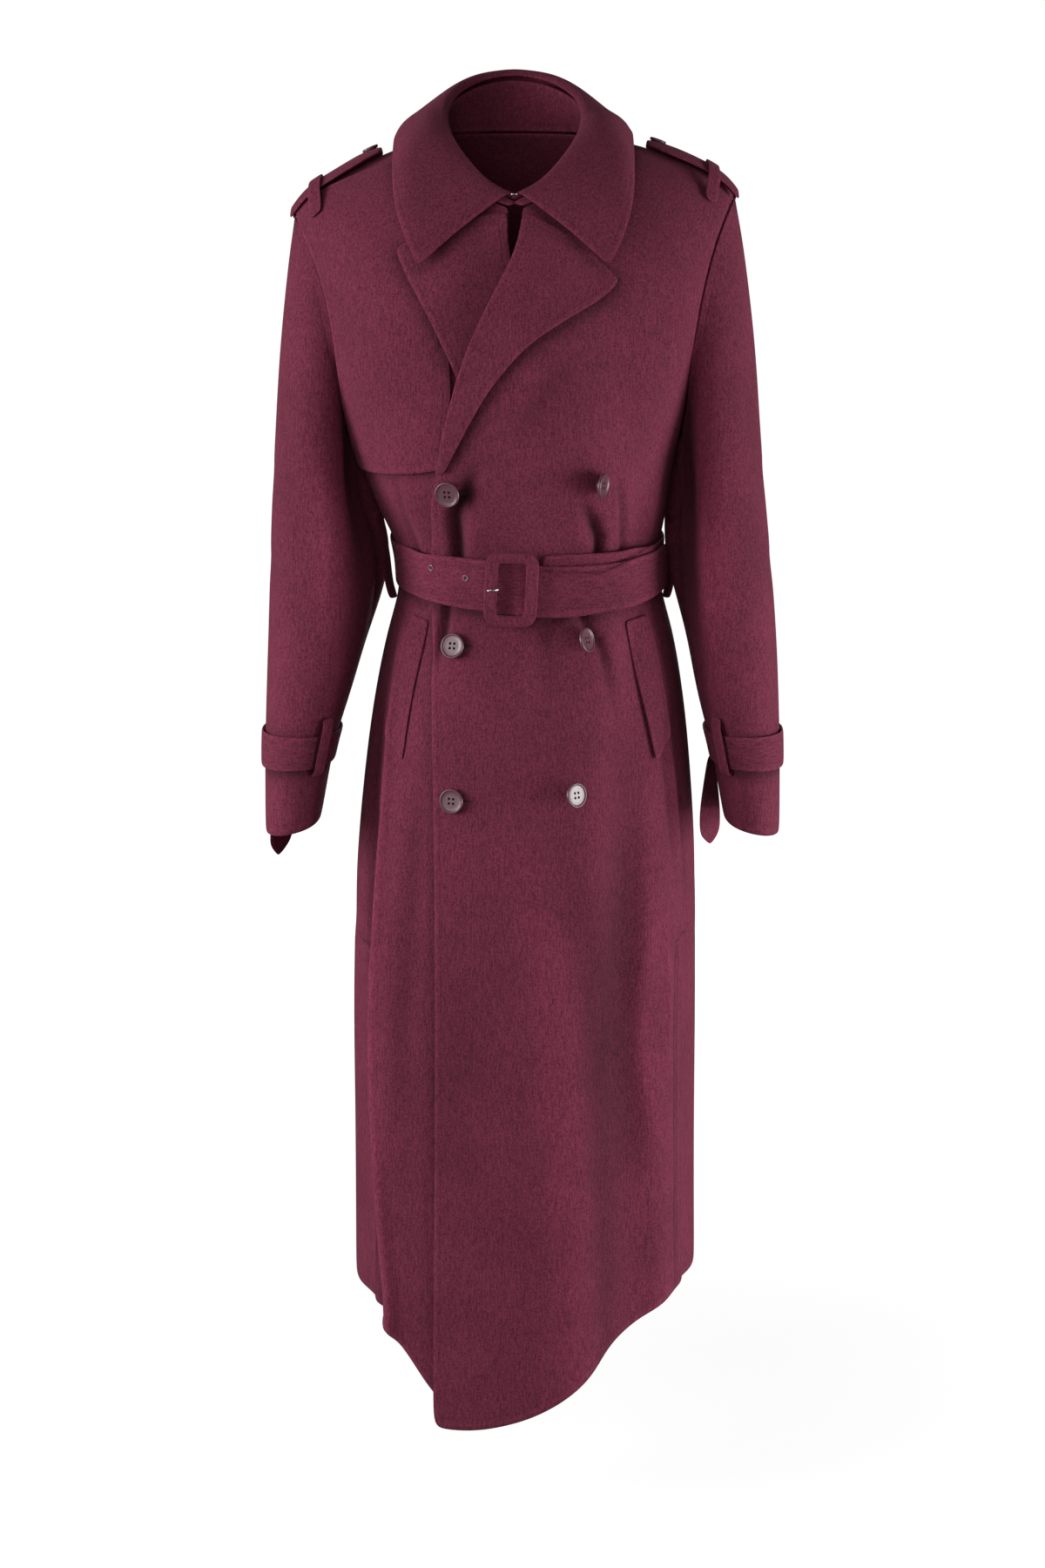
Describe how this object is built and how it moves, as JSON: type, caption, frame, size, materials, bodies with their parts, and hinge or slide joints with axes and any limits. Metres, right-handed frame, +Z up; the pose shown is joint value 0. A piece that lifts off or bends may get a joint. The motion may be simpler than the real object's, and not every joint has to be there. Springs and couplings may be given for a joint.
{
  "type": "coat",
  "caption": "Long double-breasted wool coat in burgundy, belted at the waist, with a wide pointed collar, lapels, a storm flap, epaulettes and strapped cuffs, shown as worn.",
  "frame": {"origin": "Centre of the neck base of the worn coat, where the coat is held by the wearer's neck and shoulders.", "axes": "+Z up along the coat's length, -Y the way the buttoned front faces, +X towards the wearer's left."},
  "size_m": [0.5394, 0.3791, 1.3841],
  "materials": {
    "wool": "double-faced felted wool, matt, soft raised nap",
    "button": "polished horn-like resin, four holes, raised rim",
    "metal": "bright nickel-plated wire"
  },
  "bodies": {
    "root": {"back": "wool", "left_front": "wool", "right_front": "wool", "left_sleeve": "wool", "right_sleeve": "wool", "collar": "wool", "collar_stand": "wool", "left_lapel": "wool", "right_lapel": "wool", "storm_flap": "wool", "left_epaulette": "wool", "right_epaulette": "wool", "left_epaulette_loop": "wool", "right_epaulette_loop": "wool", "left_sleeve_strap": "wool", "right_sleeve_strap": "wool", "left_sleeve_strap_loop": "wool", "right_sleeve_strap_loop": "wool", "left_strap_tail": "wool", "right_strap_tail": "wool", "belt": "wool", "belt_buckle": "wool", "left_belt_loop": "wool", "right_belt_loop": "wool", "left_pocket_welt": "wool", "right_pocket_welt": "wool", "left_button_top": "button", "left_button_middle": "button", "left_button_bottom": "button", "right_button_top": "button", "right_button_middle": "button", "right_button_bottom": "button", "left_epaulette_button": "button", "right_epaulette_button": "button", "buckle_prong": "metal", "neck_hook": "metal"}
  },
  "joints": []
}
